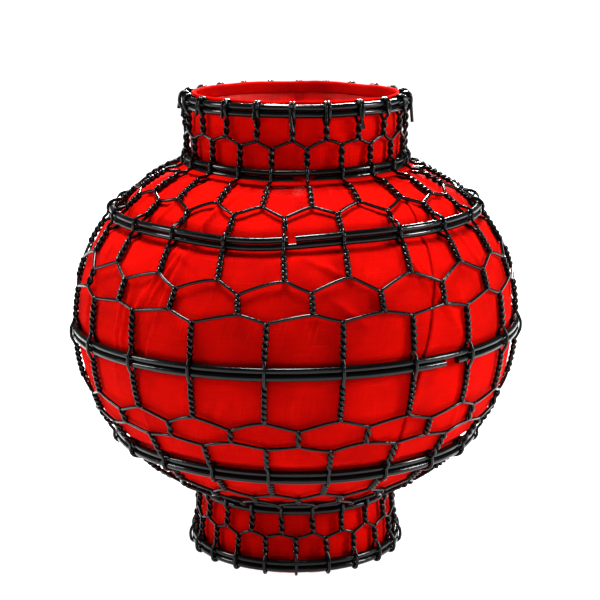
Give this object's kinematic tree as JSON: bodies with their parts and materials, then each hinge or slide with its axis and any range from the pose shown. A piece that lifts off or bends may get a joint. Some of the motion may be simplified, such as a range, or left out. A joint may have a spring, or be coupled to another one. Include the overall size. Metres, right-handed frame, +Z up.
{
  "type": "wire and cloth table lantern",
  "caption": "Round urn-shaped table lantern: black hand-twisted wire net on paired wire hoops, red cotton lining, open mouth and foot, lift-out dish with a tealight.",
  "frame": {"origin": "on the floor, under the middle of the foot", "axes": "+Z up through the middle of the foot and the mouth; -Y is the front"},
  "size_m": [0.2304, 0.2298, 0.2368],
  "materials": {
    "hoop_enamel": "gloss black enamel on steel wire",
    "net_enamel": "gloss black enamel on thin steel wire",
    "red_cotton": "plain woven red cotton, stiffened",
    "dish_metal": "satin black paint on pressed steel",
    "cup_aluminium": "thin drawn foil cup",
    "candle_wax": "white paraffin wax, a little see-through",
    "wick_cotton": "braided cotton wick"
  },
  "bodies": {
    "lantern": {"equator_hoop_lower": "hoop_enamel", "equator_hoop_upper": "hoop_enamel", "foot_hoop_lower": "hoop_enamel", "foot_hoop_upper": "hoop_enamel", "lower_hoop_lower": "hoop_enamel", "lower_hoop_upper": "hoop_enamel", "neck_hoop_lower": "hoop_enamel", "neck_hoop_upper": "hoop_enamel", "rim_hoop_lower": "hoop_enamel", "rim_hoop_upper": "hoop_enamel", "shoulder_hoop_lower": "hoop_enamel", "shoulder_hoop_upper": "hoop_enamel", "waist_hoop_lower": "hoop_enamel", "waist_hoop_upper": "hoop_enamel", "net_wire_01": "net_enamel", "net_wire_02": "net_enamel", "net_wire_03": "net_enamel", "net_wire_04": "net_enamel", "net_wire_05": "net_enamel", "net_wire_06": "net_enamel", "net_wire_07": "net_enamel", "net_wire_08": "net_enamel", "net_wire_09": "net_enamel", "net_wire_10": "net_enamel", "net_wire_11": "net_enamel", "net_wire_12": "net_enamel", "net_wire_13": "net_enamel", "net_wire_14": "net_enamel", "net_wire_15": "net_enamel", "net_wire_16": "net_enamel", "net_wire_17": "net_enamel", "net_wire_18": "net_enamel", "net_wire_19": "net_enamel", "net_wire_20": "net_enamel", "net_wire_21": "net_enamel", "net_wire_22": "net_enamel", "body_lining_1": "red_cotton", "body_lining_2": "red_cotton", "body_lining_3": "red_cotton", "body_lining_4": "red_cotton", "body_lining_5": "red_cotton", "neck_lining": "red_cotton", "foot_lining": "red_cotton"},
    "dish": {"candle_dish": "dish_metal"},
    "tealight": {"tealight_cup": "cup_aluminium", "tealight_wax": "candle_wax", "tealight_wick": "wick_cotton"}
  },
  "joints": [
    {"name": "dish_lift", "type": "slide", "parent": "lantern", "child": "dish", "axis": [0, 0, 1], "range_m": [0, 0.22]},
    {"name": "tealight_lift", "type": "slide", "parent": "dish", "child": "tealight", "axis": [0, 0, 1], "range_m": [0, 0.03]}
  ]
}
